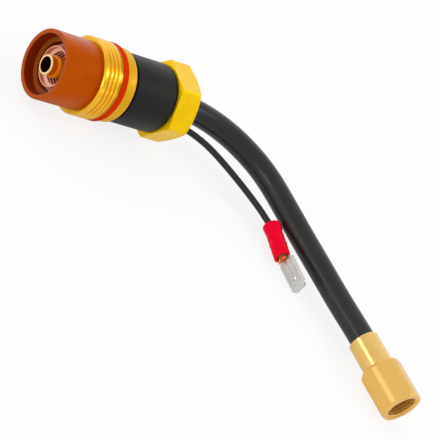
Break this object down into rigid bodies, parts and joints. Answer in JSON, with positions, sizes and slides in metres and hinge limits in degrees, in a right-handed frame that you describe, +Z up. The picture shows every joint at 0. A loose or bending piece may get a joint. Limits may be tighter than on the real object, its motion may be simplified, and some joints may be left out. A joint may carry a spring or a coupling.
{
  "type": "tig torch head",
  "caption": "Torch head with an insulated nose, threaded brass ring, black sleeve and gland nut, with a hose that ends in a brass fitting and a pilot lead that ends in a blade terminal.",
  "frame": {"origin": "on the head's axis at the rear end of the cup thread, where the groove of the sealing ring begins", "axes": "+X along the head's axis, rearward to the gland nut; +Z up as the head lies; the hose and the lead turn towards -Y"},
  "size_m": [0.1131, 0.1129, 0.0243],
  "materials": {
    "insulator_plastic": "satin moulded heat-resistant plastic, orange-brown",
    "seat_copper": "machined copper alloy",
    "tube_brass": "turned brass",
    "body_brass": "turned bright brass",
    "fitting_brass": "turned pale brass",
    "pale_plastic": "machined plastic",
    "seal_rubber": "silicone rubber, red-orange",
    "black_rubber": "moulded rubber",
    "sleeve_plastic": "matte moulded plastic",
    "hose_rubber": "satin black rubber",
    "lead_plastic": "smooth wire insulation",
    "bare_copper": "stranded copper",
    "tinned_metal": "tinned stamping",
    "red_plastic": "soft red vinyl"
  },
  "bodies": {
    "root": {"front_insulator": "insulator_plastic", "electrode_seat": "seat_copper", "gas_tube": "tube_brass", "body_stem": "tube_brass", "core_insulator": "pale_plastic", "thread_ring": "body_brass", "cup_seal": "seal_rubber", "pilot_lug": "tinned_metal", "front_gasket": "black_rubber", "body_sleeve": "sleeve_plastic", "rear_gasket": "black_rubber", "gland_nut": "body_brass", "cable_bush": "black_rubber", "hose_ferrule": "tinned_metal", "hose": "hose_rubber", "hose_core": "bare_copper", "end_spigot": "tube_brass", "end_fitting": "fitting_brass", "pilot_lead": "lead_plastic", "lead_strands": "bare_copper", "blade_terminal": "tinned_metal", "terminal_insulation": "red_plastic"}
  },
  "joints": []
}
